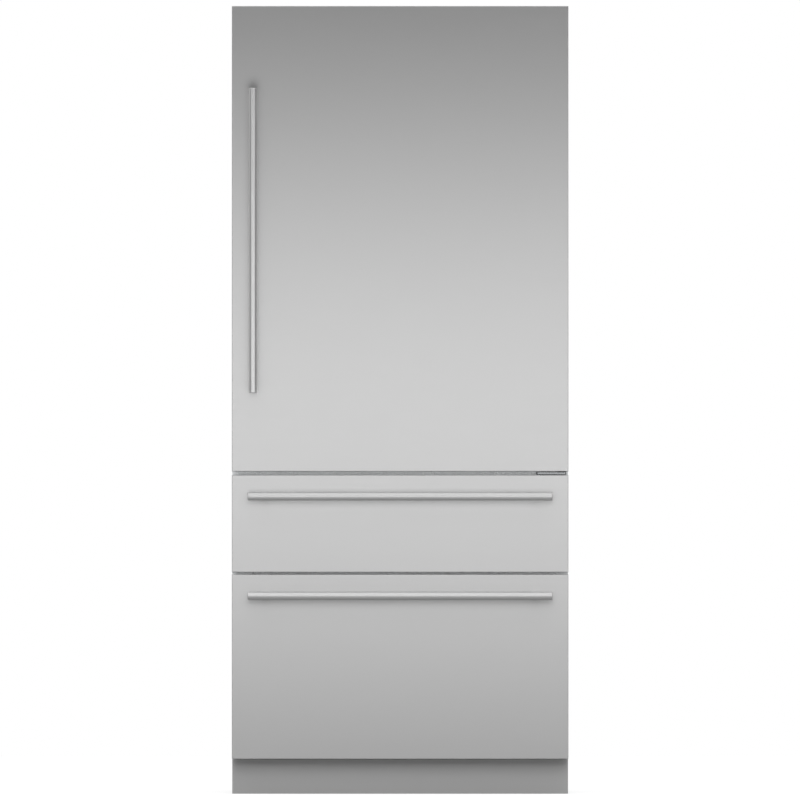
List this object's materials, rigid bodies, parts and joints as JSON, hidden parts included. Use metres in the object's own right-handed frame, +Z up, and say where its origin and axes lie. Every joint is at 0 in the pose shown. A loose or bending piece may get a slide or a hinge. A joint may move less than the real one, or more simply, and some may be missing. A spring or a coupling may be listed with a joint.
{
  "type": "bottom freezer refrigerator",
  "caption": "Tall built-in stainless steel refrigerator: hinged fresh-food door above stacked freezer drawers, round bar handles, recessed plinth, shelves and bins inside.",
  "frame": {"origin": "on the floor, under the middle of the width and of the whole depth with the handles", "axes": "+Z up, the front with the handles faces -Y, the door's hinges are on the +X side"},
  "size_m": [0.908, 0.67, 2.127],
  "materials": {
    "front_steel": "brushed",
    "handle_steel": "satin",
    "plinth_steel": "brushed",
    "shell_paint": "satin",
    "galvanised": "matte",
    "foam": "matte",
    "liner_white": "satin",
    "foamed_back": "satin",
    "gasket_rubber": "matte",
    "hinge_steel": "satin",
    "slide_steel": "satin",
    "bush_plastic": "matte",
    "clear_plastic": "gloss",
    "drawer_plastic": "satin",
    "shelf_glass": "gloss",
    "light_diffuser": "satin",
    "control_black": "gloss",
    "coil_aluminium": "satin",
    "compressor_black": "gloss",
    "fan_plastic": "matte",
    "pan_plastic": "matte"
  },
  "bodies": {
    "cabinet": {"top_hinge": "hinge_steel", "bottom_hinge": "hinge_steel", "outer_shell": "shell_paint", "rear_panel": "galvanised", "insulation": "foam", "fresh_food_liner": "liner_white", "freezer_liner": "liner_white", "freezer_mullion": "shell_paint", "fixing_brackets": "galvanised", "base_tray": "galvanised", "toe_kick": "plinth_steel", "machine_cover": "galvanised", "roller_forks": "galvanised", "air_duct_panel": "liner_white", "shelf_ladders": "hinge_steel", "shelf_frames": "liner_white", "shelf_glass": "shelf_glass", "light_columns": "light_diffuser", "control_panel": "control_black", "freezer_air_panel": "liner_white", "slide_outer_rails": "slide_steel", "condenser_coil": "coil_aluminium", "fresh_evaporator": "coil_aluminium", "freezer_evaporator": "coil_aluminium", "condenser_fan_frame": "fan_plastic", "fan_motors": "fan_plastic", "compressor": "compressor_black", "drip_pan": "pan_plastic"},
    "door": {"door_panel": "front_steel", "door_inner": "foamed_back", "door_gasket": "gasket_rubber", "door_handle": "handle_steel", "door_bins": "clear_plastic", "dairy_bin": "clear_plastic", "hinge_bushings": "bush_plastic"},
    "dairy_lid": {"dairy_lid": "clear_plastic"},
    "upper_drawer": {"upper_panel": "front_steel", "upper_inner": "foamed_back", "upper_gasket": "gasket_rubber", "upper_handle": "handle_steel", "upper_bin": "drawer_plastic", "upper_slide_inner": "slide_steel"},
    "upper_slides": {"upper_slide_mid": "slide_steel"},
    "lower_drawer": {"lower_panel": "front_steel", "lower_inner": "foamed_back", "lower_gasket": "gasket_rubber", "lower_handle": "handle_steel", "lower_bin": "drawer_plastic", "lower_slide_inner": "slide_steel"},
    "lower_slides": {"lower_slide_mid": "slide_steel"},
    "lower_tray": {"lower_tray": "drawer_plastic"},
    "left_crisper": {"left_crisper": "clear_plastic"},
    "right_crisper": {"right_crisper": "clear_plastic"},
    "left_foot": {"left_foot": "bush_plastic"},
    "right_foot": {"right_foot": "bush_plastic"},
    "left_roller": {"left_roller": "bush_plastic"},
    "right_roller": {"right_roller": "bush_plastic"},
    "condenser_fan": {"condenser_fan_blade": "fan_plastic"},
    "fresh_fan": {"fresh_fan_blade": "fan_plastic"},
    "freezer_fan": {"freezer_fan_blade": "fan_plastic"}
  },
  "joints": [
    {"name": "door_hinge", "type": "hinge", "parent": "cabinet", "child": "door", "pos_m": [0.438, -0.231, 0.866], "axis": [0, 0, 1], "range_deg": [0, 115]},
    {"name": "dairy_lid_hinge", "type": "hinge", "parent": "door", "child": "dairy_lid", "pos_m": [0, -0.182, 1.9455], "axis": [1, 0, 0], "range_deg": [0, 75]},
    {"name": "upper_drawer_slide", "type": "slide", "parent": "cabinet", "child": "upper_drawer", "axis": [0, -1, 0], "range_m": [0, 0.36]},
    {"name": "upper_mid_slide", "type": "slide", "parent": "cabinet", "child": "upper_slides", "axis": [0, -1, 0], "range_m": [0, 0.18]},
    {"name": "lower_drawer_slide", "type": "slide", "parent": "cabinet", "child": "lower_drawer", "axis": [0, -1, 0], "range_m": [0, 0.36]},
    {"name": "lower_mid_slide", "type": "slide", "parent": "cabinet", "child": "lower_slides", "axis": [0, -1, 0], "range_m": [0, 0.18]},
    {"name": "lower_tray_slide", "type": "slide", "parent": "lower_drawer", "child": "lower_tray", "axis": [0, 1, 0], "range_m": [0, 0.185]},
    {"name": "left_crisper_slide", "type": "slide", "parent": "cabinet", "child": "left_crisper", "axis": [0, -1, 0], "range_m": [0, 0.11]},
    {"name": "right_crisper_slide", "type": "slide", "parent": "cabinet", "child": "right_crisper", "axis": [0, -1, 0], "range_m": [0, 0.11]},
    {"name": "left_foot_screw", "type": "slide", "parent": "cabinet", "child": "left_foot", "axis": [0, 0, -1], "range_m": [0, 0.02]},
    {"name": "right_foot_screw", "type": "slide", "parent": "cabinet", "child": "right_foot", "axis": [0, 0, -1], "range_m": [0, 0.02]},
    {"name": "left_roller_axle", "type": "hinge", "parent": "cabinet", "child": "left_roller", "pos_m": [-0.3985, 0.273, 0.019], "axis": [1, 0, 0], "continuous": true},
    {"name": "right_roller_axle", "type": "hinge", "parent": "cabinet", "child": "right_roller", "pos_m": [0.3985, 0.273, 0.019], "axis": [1, 0, 0], "continuous": true},
    {"name": "condenser_fan_shaft", "type": "hinge", "parent": "cabinet", "child": "condenser_fan", "pos_m": [0.005, 0.24, 0.112], "axis": [1, 0, 0], "continuous": true},
    {"name": "fresh_fan_shaft", "type": "hinge", "parent": "cabinet", "child": "fresh_fan", "pos_m": [0, 0.2365, 1.9695], "axis": [0, 1, 0], "continuous": true},
    {"name": "freezer_fan_shaft", "type": "hinge", "parent": "cabinet", "child": "freezer_fan", "pos_m": [0, 0.2265, 0.7365], "axis": [0, 1, 0], "continuous": true}
  ],
  "couplings": [
    {"joint": "upper_mid_slide", "follows": "upper_drawer_slide", "ratio": 0.5},
    {"joint": "lower_mid_slide", "follows": "lower_drawer_slide", "ratio": 0.5}
  ]
}
